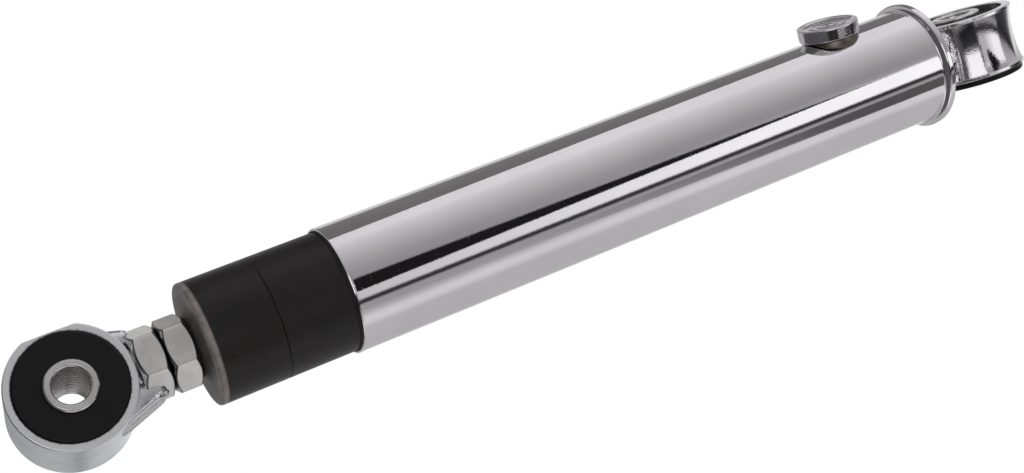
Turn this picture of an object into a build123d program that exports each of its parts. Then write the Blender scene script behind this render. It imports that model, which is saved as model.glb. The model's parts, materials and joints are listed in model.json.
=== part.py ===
from build123d import *
from math import cos, radians, sin, sqrt, tan
import os

os.makedirs("parts", exist_ok=True)

# Motorcycle rear shock absorber with a closed cover tube, sizes in millimetres.
# Z runs up the shock's axis. The origin is the centre of the upper eye, whose bore lies along X.
# The model stands at full extension, with the lower eye straight below the upper one.

# whole shock
eye_to_eye = 310.3
stroke = 40.0
bolt_bore = 10.2
running_clearance = 0.05
thread_clearance = 0.05
free_clearance = 0.5

# cover tube
cover_od = 38.0
cover_wall = 0.9
cover_length = 211.3
rim_drop = 21.0
rim_flare = 1.8
rim_band = 1.8
rim_rounding = 0.9
flare_length = 7.2
flare_share = 0.8
crimp_lip = 0.9
mouth_lip = 1.2
mouth_lip_wall = 0.7
mouth_lip_edge = 0.2

# upper eye, a flared spool welded on the end cap
upper_bore_angle = 180.0
spool_width = 20.0
spool_lip_od = 36.0
spool_lip_thickness = 1.2
spool_lip_step = 0.35
spool_waist_depth = 1.3
spool_wall = 2.7
spool_sleeve_od = 16.0
spool_sleeve_length = 23.5
spool_sleeve_shift = -1.25
spool_rubber_recess = 1.8
rubber_shoulder_step = 0.7
rubber_shoulder = 2.5

# end cap
cap_spigot = 3.0
cap_dome_height = 3.2
cap_dome_radius = 14.0
cap_neck_diameter = 19.0
cap_neck_fillet = 0.8

# side plug and its seat on the tube
plug_drop = 51.2
plug_angle = 187.0
plug_head_diameter = 19.6
plug_head_height = 4.1
plug_head_edge = 0.3
plug_rim_width = 1.4
plug_recess = 0.5
plug_shank_diameter = 10.0
plug_tip_diameter = 7.6
plug_tip_length = 2.4
plug_washer_thickness = 0.4
plug_washer_od = 16.0
pad_height = 18.9
pad_margin = 0.4
pad_flank_angle = 20.0
filler_boss_od = 17.0

# damper cylinder and its closure
cylinder_od = 24.0
cylinder_wall = 2.0
cylinder_length = 165.0
cylinder_crown = 5.0
head_step = 1.0
head_length = 31.0
rod_diameter = 12.0
gland_recess = 2.0
retainer_thickness = 1.5
retainer_grip = 0.8
retainer_band = 1.4
retainer_gap = 5.0
seal_height = 7.0
seal_lip_depth = 3.0
seal_lip_wall = 1.0
guide_height = 14.0
o_ring_section = 1.6
o_ring_play = 0.3

# piston and what holds it
bumper_height = 9.5
bumper_gap = 1.5
bumper_edge = 2.0
piston_washer_thickness = 1.5
piston_height = 12.0
piston_clearance = 0.1
piston_ring_height = 5.0
piston_ring_depth = 1.2
port_diameter = 1.8
port_circle = 13.6
port_count = 6
shim_thickness = 0.4
shim_count = 3
shim_gap = 2.0
shim_step = 2.0
stud_diameter = 8.0
stud_reach = 1.0
rod_end_chamfer = 0.8
piston_nut_flats = 13.0
piston_nut_height = 6.5

# main spring and its seats
wire_diameter = 4.5
spring_clearance = 0.6
spring_coils = 11
perch_thickness = 3.0
perch_clearance = 0.3
perch_edge = 1.0
seat_thickness = 3.0
seat_clearance = 0.5
seat_hub_length = 6.0
seat_hub_wall = 1.4

# black guide sleeves
guide_sleeve_clearance = 0.08
lower_sleeve_length = 20.5
sleeve_engagement = 10.0
sleeve_wall = 5.1
sleeve_floor = 6.0
sleeve_groove = 0.35
spigot_length = 3.0
spigot_wall = 2.6
dish_rim = 2.2
dish_depth = 1.2
hub_od = 17.0
end_rounding = 0.9

# lower eye, nuts and bush
lower_bore_angle = 245.2
ring_od = 35.4
ring_wall = 2.3
ring_width = 24.0
ring_flat_depth = 1.6
ring_offset = -4.0
ring_edge = 0.5
lower_bush_sleeve_od = 14.8
lower_bush_sleeve_length = 27.0
rubber_proud = 0.5
rubber_edge = 0.8
bush_edge = 0.5
nut_flats = 19.0
nut_height = 8.2
nut_corner_angle = 30.0
weld_nut_gap = 0.2
weld_nut_angle = 35.3
lock_nut_angle = 38.7
nut_recess = 1.7
weld_width = 12.0
weld_shift = -2.5
weld_climb = 4.4
weld_cover = 0.3
weld_root = 4.8
weld_foot_angle = 64.0
small_weld_climb = 2.4
small_weld_angle = 50.0
bump_clearance = 2.1
bump_waist = 2.4

# levels along Z, from the top down
rim_top = -rim_drop
cap_seat = rim_top - cover_wall
band_bottom = rim_top - rim_band
flare_bottom = band_bottom - flare_length
cap_bottom = flare_bottom - cap_spigot
mouth = rim_top - cover_length
crown_bottom = cap_bottom - cylinder_crown
head_bottom = cap_bottom - head_length
cylinder_bottom = cap_bottom - cylinder_length
perch_bottom = head_bottom - perch_thickness

# levels of the lower end, from the lower eye up
lower_eye_z = -eye_to_eye
weld_nut_bottom = lower_eye_z + ring_od / 2 + weld_nut_gap
lock_nut_bottom = weld_nut_bottom + nut_height
lock_nut_top = lock_nut_bottom + nut_height
sleeve_face = lock_nut_top + nut_recess
sleeve_joint = sleeve_face + lower_sleeve_length
sleeve_top = mouth + sleeve_engagement
seat_top = sleeve_top + seat_thickness
floor_top = sleeve_face + sleeve_floor
bump_top = cylinder_bottom - stroke - free_clearance

# levels inside the damper, from its lower end up
retainer_bottom = cylinder_bottom + gland_recess
seal_bottom = retainer_bottom + retainer_thickness
guide_bottom = seal_bottom + seal_height
guide_top = guide_bottom + guide_height
rod_shoulder = guide_top + bumper_height
piston_bottom = rod_shoulder + piston_washer_thickness
piston_top = piston_bottom + piston_height
piston_nut_bottom = piston_top + shim_count * shim_thickness
rod_top = piston_nut_bottom + piston_nut_height + stud_reach

# radii that several pieces share
cover_radius = cover_od / 2
cover_inner = cover_radius - cover_wall
rim_radius = cover_radius + rim_flare
rim_inner = rim_radius - cover_wall
dome_foot = rim_inner - crimp_lip
rod_radius = rod_diameter / 2
stud_radius = stud_diameter / 2
cylinder_radius = cylinder_od / 2
cylinder_inner = cylinder_radius - cylinder_wall
head_radius = cylinder_radius + head_step
bumper_radius = cylinder_inner - bumper_gap
sleeve_radius = cover_inner - guide_sleeve_clearance
sleeve_inner = sleeve_radius - sleeve_wall
spigot_radius = sleeve_inner + spigot_wall
seat_inner = cylinder_radius + free_clearance
seat_hub_radius = seat_inner + seat_hub_wall
seat_radius = cover_inner - seat_clearance
perch_radius = cover_inner - perch_clearance
spring_radius = cover_inner - spring_clearance - wire_diameter / 2
dish_radius = sleeve_radius - dish_rim
bump_radius = sleeve_inner - bump_clearance
bolt_radius = bolt_bore / 2
plug_radius = plug_head_diameter / 2
plug_face = pad_height + plug_washer_thickness
plug_hole = plug_shank_diameter / 2 + thread_clearance


def outline(points, plane=Plane.XZ):
    """A closed straight-sided profile on a plane."""
    with BuildSketch(plane) as drawn:
        with BuildLine():
            Polyline(*points, close=True)
        make_face()
    return drawn.sketch


def ring_outline(inner, outer, bottom, top):
    """The cross-section of a plain ring about Z."""
    return outline([(inner, bottom), (outer, bottom), (outer, top), (inner, top)])


def bush_outline(plane, start, end, inner, outer):
    """The cross-section of a plain bush that lies along a plane's first direction."""
    return outline([(start, inner), (end, inner), (end, outer), (start, outer)], plane)


def bore_plane(height, angle):
    """The upright plane through an eye's centre whose first direction is the bore's."""
    along = Vector(cos(radians(angle)), sin(radians(angle)), 0)
    return Plane(origin=(0, 0, height), x_dir=along, z_dir=along.cross(Vector(0, 0, 1)))


def nut_blank(bottom, height, flats, angle):
    """A solid hexagon with both ends turned off at the corners."""
    corner = flats / sqrt(3)
    drop = (corner - flats / 2) * tan(radians(nut_corner_angle))
    top = bottom + height
    turned = [
        (0, bottom),
        (flats / 2, bottom),
        (corner, bottom + drop),
        (corner, top - drop),
        (flats / 2, top),
        (0, top),
    ]
    with BuildPart() as blank:
        with BuildSketch(Plane.XY.offset(bottom)):
            RegularPolygon(flats / 2, 6, major_radius=False, rotation=angle)
        extrude(amount=height)
        revolve(outline(turned), axis=Axis.Z, mode=Mode.INTERSECT)
    return blank.part


def finish(part, name):
    """Label a finished piece and write its file."""
    part.label = name
    export_step(part, f"parts/{name}.step")


# Upper eye: a spool whose outer side is a shallow concave curve between two lips
upper_plane = bore_plane(0, upper_bore_angle)
upper_axis = Axis(upper_plane.origin, upper_plane.x_dir)
spool_half = spool_width / 2
lip_face = spool_half - spool_lip_thickness
lip_radius = spool_lip_od / 2
waist_radius = lip_radius - spool_waist_depth
spool_inner = lip_radius - spool_wall
shoulder_radius = lip_radius - rubber_shoulder_step
lip_foot = lip_radius - spool_lip_step


def spool_outline(inner):
    """The spool's cross-section, down to an inner radius."""
    with BuildSketch(upper_plane) as drawn:
        with BuildLine():
            Polyline((-lip_face, lip_foot), (-lip_face, lip_radius), (-spool_half, lip_radius))
            Polyline((-spool_half, lip_radius), (-spool_half, inner), (spool_half, inner))
            Polyline((spool_half, inner), (spool_half, lip_radius), (lip_face, lip_radius))
            Line((lip_face, lip_radius), (lip_face, lip_foot))
            ThreePointArc((lip_face, lip_foot), (0, waist_radius), (-lip_face, lip_foot))
        make_face()
    return drawn.sketch


with BuildPart() as upper_eye:
    revolve(spool_outline(spool_inner), axis=upper_axis)
finish(upper_eye.part, "upper_eye")

# Its bush sits a little low in the spool, and the rubber has a shoulder outside the lower lip
with BuildPart() as upper_bush_sleeve:
    start = spool_sleeve_shift - spool_sleeve_length / 2
    end = start + spool_sleeve_length
    outer = spool_sleeve_od / 2
    revolve(bush_outline(upper_plane, start, end, bolt_radius, outer), axis=upper_axis)
    chamfer(upper_bush_sleeve.edges().filter_by(GeomType.CIRCLE), bush_edge)
finish(upper_bush_sleeve.part, "upper_bush_sleeve")

with BuildPart() as upper_bush_rubber:
    inner = spool_sleeve_od / 2 + running_clearance
    recessed_face = spool_half - spool_rubber_recess
    shoulder_face = -spool_half - rubber_shoulder
    shape = [
        (recessed_face, inner),
        (recessed_face, spool_inner),
        (-spool_half, spool_inner),
        (-spool_half, shoulder_radius),
        (shoulder_face + rubber_edge, shoulder_radius),
        (shoulder_face, shoulder_radius - rubber_edge),
        (shoulder_face, inner),
    ]
    revolve(outline(shape, upper_plane), axis=upper_axis)
finish(upper_bush_rubber.part, "upper_bush_rubber")

# End cap: a turned plug inside the crimped rim, domed up to the neck that carries the spool
with BuildPart() as end_cap:
    neck = cap_neck_diameter / 2
    dome_top = cap_seat + cap_dome_height
    with BuildSketch(Plane.XZ):
        with BuildLine():
            Polyline((0, cap_bottom), (cover_inner, cap_bottom), (cover_inner, flare_bottom))
            Polyline((cover_inner, flare_bottom), (rim_inner, band_bottom), (rim_inner, cap_seat))
            Line((rim_inner, cap_seat), (dome_foot, cap_seat))
            RadiusArc((dome_foot, cap_seat), (neck, dome_top), -cap_dome_radius)
            Polyline((neck, dome_top), (neck, 0), (0, 0), (0, cap_bottom))
        make_face()
    revolve(axis=Axis.Z)
    neck_edge = end_cap.edges().filter_by(GeomType.CIRCLE).sort_by(
        lambda edge: abs(edge.center().Z - dome_top) + abs(edge.radius - neck)
    )[0]
    fillet(neck_edge, cap_neck_fillet)
    revolve(spool_outline(0), axis=upper_axis, mode=Mode.SUBTRACT)
finish(end_cap.part, "end_cap")

# Cover tube: a thin wall that flares at the top, is crimped over the end cap, and has a raised
# flat seat for the plug, which points a few degrees off the upper bore
plug_end = Plane(origin=(0, 0, -plug_drop), x_dir=(0, 0, 1), z_dir=bore_plane(0, plug_angle).x_dir)
plug_side = Plane(origin=plug_end.origin, x_dir=plug_end.x_dir, z_dir=plug_end.x_dir.cross(plug_end.z_dir))
plug_axis = Axis(plug_end.origin, plug_end.z_dir)
pad_radius = plug_washer_od / 2 + pad_margin
pad_root_radius = pad_radius + pad_height * tan(radians(pad_flank_angle))
flare_middle = (cover_radius + rim_flare * flare_share, flare_bottom + flare_length * flare_share)
with BuildPart() as cover_tube:
    with BuildSketch(Plane.XZ):
        with BuildLine():
            Polyline((0, mouth), (cover_radius, mouth), (cover_radius, flare_bottom))
            TangentArc((cover_radius, flare_bottom), flare_middle, tangent=(0, 1))
            TangentArc((rim_radius, band_bottom), flare_middle, tangent=(0, -1))
            Line((rim_radius, band_bottom), (rim_radius, rim_top - rim_rounding))
            RadiusArc(
                (rim_radius, rim_top - rim_rounding), (rim_radius - rim_rounding, rim_top), -rim_rounding
            )
            Polyline((rim_radius - rim_rounding, rim_top), (0, rim_top), (0, mouth))
        make_face()
    revolve(axis=Axis.Z)
    pad = [(0, 0), (0, pad_root_radius), (pad_height, pad_radius), (pad_height, 0)]
    revolve(outline([(across, out) for out, across in pad], plug_side), axis=plug_axis)
    with BuildSketch(plug_end.offset(pad_height)):
        Circle(plug_radius + pad_margin)
    extrude(amount=cover_radius, mode=Mode.SUBTRACT)
    bore = [
        (0, mouth),
        (cover_inner, mouth),
        (cover_inner, flare_bottom),
        (rim_inner, band_bottom),
        (rim_inner, cap_seat),
        (dome_foot, cap_seat),
        (dome_foot, rim_top),
        (0, rim_top),
    ]
    revolve(outline(bore), axis=Axis.Z, mode=Mode.SUBTRACT)
    with BuildSketch(plug_end):
        Circle(plug_hole)
    extrude(amount=cover_radius, mode=Mode.SUBTRACT)
finish(cover_tube.part, "cover_tube")

# Wiper: a thin rubber lip on the edge of the tube's mouth
with BuildPart() as wiper_ring:
    inner = sleeve_radius + running_clearance
    revolve(ring_outline(inner, inner + mouth_lip_wall, mouth - mouth_lip, mouth), axis=Axis.Z)
    fillet(wiper_ring.edges().group_by(Axis.Z)[0], mouth_lip_edge)
finish(wiper_ring.part, "wiper_ring")

# Side plug: a flat round head with a raised rim, a threaded shank and a plain tip
shank_end = head_radius + free_clearance
with BuildPart() as filler_plug:
    shape = [
        (shank_end - plug_tip_length, 0),
        (shank_end - plug_tip_length, plug_tip_diameter / 2),
        (shank_end, plug_tip_diameter / 2),
        (shank_end, plug_shank_diameter / 2),
        (plug_face, plug_shank_diameter / 2),
        (plug_face, plug_radius - plug_head_edge),
        (plug_face + plug_head_edge, plug_radius),
        (plug_face + plug_head_height - plug_head_edge, plug_radius),
        (plug_face + plug_head_height, plug_radius - plug_head_edge),
        (plug_face + plug_head_height, plug_radius - plug_rim_width),
        (plug_face + plug_head_height - plug_recess, plug_radius - plug_rim_width - plug_recess),
        (plug_face + plug_head_height - plug_recess, 0),
    ]
    revolve(outline([(across, out) for out, across in shape], plug_side), axis=plug_axis)
finish(filler_plug.part, "filler_plug")

with BuildPart() as plug_washer:
    with BuildSketch(plug_end.offset(pad_height)):
        Circle(plug_washer_od / 2)
        Circle(plug_hole, mode=Mode.SUBTRACT)
    extrude(amount=plug_washer_thickness)
finish(plug_washer.part, "plug_washer")

# The boss between the damper's head and the cover, shaped to both round walls
with BuildPart() as filler_boss:
    with BuildSketch(plug_end):
        Circle(filler_boss_od / 2)
        Circle(plug_hole, mode=Mode.SUBTRACT)
    extrude(amount=cover_radius)
    boss_top = -plug_drop + filler_boss_od
    boss_bottom = -plug_drop - filler_boss_od
    revolve(ring_outline(head_radius, cover_inner, boss_bottom, boss_top), axis=Axis.Z, mode=Mode.INTERSECT)
finish(filler_boss.part, "filler_boss")

# Damper cylinder: a closed head with the filling port, a shoulder for the spring perch, a long
# bore and the groove for the retaining ring
with BuildPart() as damper_cylinder:
    shape = [
        (0, cap_bottom),
        (head_radius, cap_bottom),
        (head_radius, head_bottom),
        (cylinder_radius, head_bottom),
        (cylinder_radius, cylinder_bottom),
        (cylinder_inner, cylinder_bottom),
        (cylinder_inner, retainer_bottom),
        (cylinder_inner + retainer_grip, retainer_bottom),
        (cylinder_inner + retainer_grip, seal_bottom),
        (cylinder_inner, seal_bottom),
        (cylinder_inner, crown_bottom),
        (0, crown_bottom),
    ]
    revolve(outline(shape), axis=Axis.Z)
    with BuildSketch(plug_end):
        Circle(plug_tip_diameter / 2 + free_clearance)
    extrude(amount=cover_radius, mode=Mode.SUBTRACT)
finish(damper_cylinder.part, "damper_cylinder")

with BuildPart() as spring_perch:
    revolve(ring_outline(cylinder_radius, perch_radius, perch_bottom, head_bottom), axis=Axis.Z)
    fillet(spring_perch.edges().group_by(Axis.Z)[-1].sort_by(SortBy.RADIUS)[-1], perch_edge)
finish(spring_perch.part, "spring_perch")

# Main spring: round wire wound between its seats, with both ends ground flat
with BuildPart() as main_spring:
    spring_length = perch_bottom - seat_top
    with BuildLine() as coil:
        Helix(
            pitch=spring_length / spring_coils,
            height=spring_length,
            radius=spring_radius,
            center=(0, 0, seat_top),
        )
    with BuildSketch(Plane(origin=coil.line @ 0, z_dir=coil.line % 0)):
        Circle(wire_diameter / 2)
    sweep(path=coil.line, is_frenet=True)
    split(bisect_by=Plane.XY.offset(seat_top), keep=Keep.TOP)
    split(bisect_by=Plane.XY.offset(perch_bottom), keep=Keep.BOTTOM)
finish(main_spring.part, "main_spring")

# Lower spring seat: a ring with a hub that centres it in the upper guide sleeve
with BuildPart() as spring_seat:
    shape = [
        (seat_inner, sleeve_top - seat_hub_length),
        (seat_hub_radius, sleeve_top - seat_hub_length),
        (seat_hub_radius, sleeve_top),
        (seat_radius, sleeve_top),
        (seat_radius, seat_top),
        (seat_inner, seat_top),
    ]
    revolve(outline(shape), axis=Axis.Z)
finish(spring_seat.part, "spring_seat")

# Guide sleeves: the upper one spigots into the lower one, and a fine groove marks the joint
with BuildPart() as upper_guide_sleeve:
    shape = [
        (sleeve_inner, sleeve_joint - spigot_length),
        (spigot_radius, sleeve_joint - spigot_length),
        (spigot_radius, sleeve_joint),
        (sleeve_radius - sleeve_groove, sleeve_joint),
        (sleeve_radius, sleeve_joint + sleeve_groove),
        (sleeve_radius, sleeve_top - end_rounding),
        (sleeve_radius - end_rounding, sleeve_top),
        (seat_hub_radius, sleeve_top),
        (seat_hub_radius, sleeve_top - seat_hub_length),
        (sleeve_inner, sleeve_top - seat_hub_length),
    ]
    revolve(outline(shape), axis=Axis.Z)
finish(upper_guide_sleeve.part, "upper_guide_sleeve")

with BuildPart() as lower_guide_sleeve:
    rod_hole = rod_radius + running_clearance
    with BuildSketch(Plane.XZ):
        with BuildLine():
            Polyline((rod_hole, floor_top), (rod_hole, lock_nut_top), (hub_od / 2, lock_nut_top))
            Line((hub_od / 2, lock_nut_top), (hub_od / 2, sleeve_face + dish_depth))
            Line((hub_od / 2, sleeve_face + dish_depth), (dish_radius - dish_depth, sleeve_face + dish_depth))
            Line((dish_radius - dish_depth, sleeve_face + dish_depth), (dish_radius, sleeve_face))
            Line((dish_radius, sleeve_face), (sleeve_radius - end_rounding, sleeve_face))
            RadiusArc(
                (sleeve_radius - end_rounding, sleeve_face),
                (sleeve_radius, sleeve_face + end_rounding),
                -end_rounding,
            )
            Polyline(
                (sleeve_radius, sleeve_face + end_rounding),
                (sleeve_radius, sleeve_joint - sleeve_groove),
                (sleeve_radius - sleeve_groove, sleeve_joint),
                (spigot_radius, sleeve_joint),
                (spigot_radius, sleeve_joint - spigot_length),
                (sleeve_inner, sleeve_joint - spigot_length),
                (sleeve_inner, floor_top),
                (rod_hole, floor_top),
            )
        make_face()
    revolve(axis=Axis.Z)
finish(lower_guide_sleeve.part, "lower_guide_sleeve")

# The cylinder's closure: retaining ring, oil seal and rod guide with its O-ring
with BuildPart() as retaining_ring:
    inner = cylinder_inner - retainer_band
    revolve(ring_outline(inner, cylinder_inner + retainer_grip, retainer_bottom, seal_bottom), axis=Axis.Z)
    with BuildSketch(Plane.XY.offset(retainer_bottom)):
        with Locations((cylinder_inner, 0)):
            Rectangle(cylinder_inner, retainer_gap)
    extrude(amount=retainer_thickness, mode=Mode.SUBTRACT)
finish(retaining_ring.part, "retaining_ring")

with BuildPart() as oil_seal:
    inner = rod_radius + running_clearance
    lip = inner + seal_lip_wall
    shape = [
        (inner, seal_bottom),
        (lip, seal_bottom),
        (lip + seal_lip_wall / 2, seal_bottom + seal_lip_depth),
        (cylinder_inner - seal_lip_wall - seal_lip_wall / 2, seal_bottom + seal_lip_depth),
        (cylinder_inner - seal_lip_wall, seal_bottom),
        (cylinder_inner, seal_bottom),
        (cylinder_inner, guide_bottom),
        (inner, guide_bottom),
    ]
    revolve(outline(shape), axis=Axis.Z)
finish(oil_seal.part, "oil_seal")

with BuildPart() as rod_guide:
    inner = rod_radius + running_clearance
    groove_middle = guide_bottom + guide_height / 2
    groove_half = (o_ring_section + o_ring_play) / 2
    groove_floor = cylinder_inner - o_ring_section
    shape = [
        (inner, guide_bottom),
        (cylinder_inner, guide_bottom),
        (cylinder_inner, groove_middle - groove_half),
        (groove_floor, groove_middle - groove_half),
        (groove_floor, groove_middle + groove_half),
        (cylinder_inner, groove_middle + groove_half),
        (cylinder_inner, guide_top),
        (inner, guide_top),
    ]
    revolve(outline(shape), axis=Axis.Z)
finish(rod_guide.part, "rod_guide")

with BuildPart() as guide_o_ring:
    with BuildSketch(Plane.XZ):
        with Locations((cylinder_inner - o_ring_section / 2, groove_middle)):
            Circle(o_ring_section / 2)
    revolve(axis=Axis.Z)
finish(guide_o_ring.part, "guide_o_ring")

# Piston rod: threaded through both nuts at the bottom, with a stud for the piston at the top
with BuildPart() as piston_rod:
    rod_bottom = weld_nut_bottom + free_clearance
    shape = [
        (0, rod_bottom),
        (rod_radius - rod_end_chamfer, rod_bottom),
        (rod_radius, rod_bottom + rod_end_chamfer),
        (rod_radius, rod_shoulder),
        (stud_radius, rod_shoulder),
        (stud_radius, rod_top - rod_end_chamfer),
        (stud_radius - rod_end_chamfer, rod_top),
        (0, rod_top),
    ]
    revolve(outline(shape), axis=Axis.Z)
finish(piston_rod.part, "piston_rod")

with BuildPart() as rebound_bumper:
    revolve(ring_outline(rod_radius, bumper_radius, guide_top, rod_shoulder), axis=Axis.Z)
    fillet(rebound_bumper.edges().group_by(Axis.Z)[0].sort_by(SortBy.RADIUS)[-1], bumper_edge)
finish(rebound_bumper.part, "rebound_bumper")

with BuildPart() as piston_washer:
    revolve(ring_outline(stud_radius, bumper_radius, rod_shoulder, piston_bottom), axis=Axis.Z)
finish(piston_washer.part, "piston_washer")

# Piston: a ring groove around it and a circle of damping ports through it
with BuildPart() as piston:
    piston_radius = cylinder_inner - piston_clearance
    ring_floor = piston_radius - piston_ring_depth
    ring_bottom = piston_bottom + (piston_height - piston_ring_height) / 2
    ring_top = ring_bottom + piston_ring_height
    revolve(ring_outline(stud_radius, piston_radius, piston_bottom, piston_top), axis=Axis.Z)
    revolve(ring_outline(ring_floor, cylinder_inner, ring_bottom, ring_top), axis=Axis.Z, mode=Mode.SUBTRACT)
    with BuildSketch(Plane.XY.offset(piston_bottom)):
        with PolarLocations(port_circle / 2, port_count):
            Circle(port_diameter / 2)
    extrude(amount=piston_height, mode=Mode.SUBTRACT)
finish(piston.part, "piston")

with BuildPart() as piston_ring:
    outer = cylinder_inner - running_clearance
    revolve(ring_outline(ring_floor, outer, ring_bottom, ring_top), axis=Axis.Z)
finish(piston_ring.part, "piston_ring")

# Valve shims: a stack of discs, each smaller than the one below it
with BuildPart() as valve_shims:
    for count in range(shim_count):
        bottom = piston_top + count * shim_thickness
        outer = cylinder_inner - shim_gap - count * shim_step / 2
        revolve(ring_outline(stud_radius, outer, bottom, bottom + shim_thickness), axis=Axis.Z)
finish(valve_shims.part, "valve_shims")

with BuildPart() as piston_nut:
    add(nut_blank(piston_nut_bottom, piston_nut_height, piston_nut_flats, 0))
    with BuildSketch(Plane.XY.offset(piston_nut_bottom)):
        Circle(stud_radius + thread_clearance)
    extrude(amount=piston_nut_height, mode=Mode.SUBTRACT)
finish(piston_nut.part, "piston_nut")

# Bump stop: a waisted rubber buffer on the rod, which meets the cylinder at full compression
with BuildPart() as bump_stop:
    bump_middle = (floor_top + bump_top) / 2
    with BuildSketch(Plane.XZ):
        with BuildLine():
            Polyline((bump_radius, floor_top), (rod_radius, floor_top), (rod_radius, bump_top))
            Line((rod_radius, bump_top), (bump_radius, bump_top))
            ThreePointArc(
                (bump_radius, bump_top), (bump_radius - bump_waist, bump_middle), (bump_radius, floor_top)
            )
        make_face()
    revolve(axis=Axis.Z)
finish(bump_stop.part, "bump_stop")

# Nuts: the lower one is welded to the eye, the upper one locks it on the rod
with BuildPart() as weld_nut:
    add(nut_blank(weld_nut_bottom, nut_height, nut_flats, weld_nut_angle))
    with BuildSketch(Plane.XY.offset(weld_nut_bottom)):
        Circle(rod_radius + thread_clearance)
    extrude(amount=nut_height, mode=Mode.SUBTRACT)
finish(weld_nut.part, "weld_nut")

with BuildPart() as lock_nut:
    add(nut_blank(lock_nut_bottom, nut_height, nut_flats, lock_nut_angle))
    with BuildSketch(Plane.XY.offset(lock_nut_bottom)):
        Circle(rod_radius + thread_clearance)
    extrude(amount=nut_height, mode=Mode.SUBTRACT)
finish(lock_nut.part, "lock_nut")

# Lower eye: a ring with a flat along the shock's axis, set off to one side of the rod, with a long
# weld up one corner of the nut and a short one at the opposite corner, above the flat
lower_plane = bore_plane(lower_eye_z, lower_bore_angle)
lower_axis = Axis(lower_plane.origin, lower_plane.x_dir)
weld_plane = Plane(
    origin=lower_plane.origin + lower_plane.x_dir * (weld_shift - weld_width / 2),
    x_dir=-lower_plane.z_dir,
    z_dir=lower_plane.x_dir,
)
ring_radius = ring_od / 2
ring_inner = ring_radius - ring_wall
ring_flat = ring_radius - ring_flat_depth
ring_start = ring_offset - ring_width / 2
ring_end = ring_offset + ring_width / 2
nut_foot = ring_radius + weld_nut_gap
nut_corner = nut_flats / sqrt(3)
weld_foot = radians(weld_foot_angle)
small_weld_foot = radians(small_weld_angle)
with BuildPart() as lower_eye:
    revolve(bush_outline(lower_plane, ring_start, ring_end, 0, ring_radius), axis=lower_axis)
    chamfer(lower_eye.edges().filter_by(GeomType.CIRCLE), ring_edge)
    with BuildSketch(lower_plane.offset(ring_flat)):
        Rectangle(2 * ring_od, 2 * ring_od)
    extrude(amount=ring_od, mode=Mode.SUBTRACT)
    long_weld = [
        (0, 0),
        (ring_radius * sin(weld_foot), ring_radius * cos(weld_foot)),
        (nut_corner + weld_cover, nut_foot + weld_climb),
        (weld_root, nut_foot + weld_climb),
        (weld_root, nut_foot),
        (0, nut_foot),
    ]
    extrude(outline(long_weld, weld_plane), amount=weld_width)
    short_weld = [
        (0, 0),
        (-ring_radius * sin(small_weld_foot), ring_radius * cos(small_weld_foot)),
        (-nut_corner, nut_foot + small_weld_climb),
        (-weld_root, nut_foot + small_weld_climb),
        (-weld_root, nut_foot),
        (0, nut_foot),
    ]
    extrude(outline(short_weld, weld_plane), amount=weld_width)
    add(nut_blank(weld_nut_bottom, nut_height, nut_flats, weld_nut_angle), mode=Mode.SUBTRACT)
    shape = bush_outline(lower_plane, ring_start, ring_end, 0, ring_inner)
    revolve(shape, axis=lower_axis, mode=Mode.SUBTRACT)
finish(lower_eye.part, "lower_eye")

# Its bush: rubber a little proud of the ring, and a longer steel sleeve through it
with BuildPart() as lower_bush_rubber:
    start = ring_start - rubber_proud
    end = ring_end + rubber_proud
    inner = lower_bush_sleeve_od / 2 + running_clearance
    revolve(bush_outline(lower_plane, start, end, inner, ring_inner), axis=lower_axis)
    rims = lower_bush_rubber.edges().filter_by(GeomType.CIRCLE).group_by(SortBy.RADIUS)[-1]
    fillet(rims, rubber_edge)
finish(lower_bush_rubber.part, "lower_bush_rubber")

with BuildPart() as lower_bush_sleeve:
    start = ring_offset - lower_bush_sleeve_length / 2
    end = start + lower_bush_sleeve_length
    outer = lower_bush_sleeve_od / 2
    revolve(bush_outline(lower_plane, start, end, bolt_radius, outer), axis=lower_axis)
    chamfer(lower_bush_sleeve.edges().filter_by(GeomType.CIRCLE), bush_edge)
finish(lower_bush_sleeve.part, "lower_bush_sleeve")
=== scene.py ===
import json
import math
import bpy
import numpy as np
from mathutils import Matrix, Vector


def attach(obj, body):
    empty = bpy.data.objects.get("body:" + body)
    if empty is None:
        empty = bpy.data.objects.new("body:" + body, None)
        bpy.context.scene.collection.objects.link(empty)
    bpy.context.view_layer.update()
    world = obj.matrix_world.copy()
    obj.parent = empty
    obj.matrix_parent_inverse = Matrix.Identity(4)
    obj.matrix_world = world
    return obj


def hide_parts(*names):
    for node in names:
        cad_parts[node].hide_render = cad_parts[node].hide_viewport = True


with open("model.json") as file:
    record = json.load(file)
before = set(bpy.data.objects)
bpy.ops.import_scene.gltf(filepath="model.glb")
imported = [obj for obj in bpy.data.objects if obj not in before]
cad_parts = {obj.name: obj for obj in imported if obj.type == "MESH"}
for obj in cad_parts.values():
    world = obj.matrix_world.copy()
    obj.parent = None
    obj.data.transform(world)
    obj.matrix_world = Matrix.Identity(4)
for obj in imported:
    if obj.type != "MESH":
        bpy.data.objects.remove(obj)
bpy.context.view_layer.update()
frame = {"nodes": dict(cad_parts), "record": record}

mm = 0.001
fullTurn = 2 * math.pi
print("frame loaded:", len(frame["nodes"]), "nodes")


def linearColour(hexText):
    # sRGB hex to linear: each channel goes back through the sRGB curve
    channels = [int(hexText[i:i + 2], 16) / 255 for i in (1, 3, 5)]
    return tuple(c / 12.92 if c <= 0.04045 else ((c + 0.055) / 1.055) ** 2.4 for c in channels) + (1.0,)


def fill(tree, node, inputs):
    # each input gets a constant, an output, or a node's first output
    for key, value in inputs.items():
        if isinstance(value, bpy.types.Node):
            value = value.outputs[0]
        if isinstance(value, bpy.types.NodeSocket):
            tree.links.new(value, node.inputs[key])
        else:
            node.inputs[key].default_value = value


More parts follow.
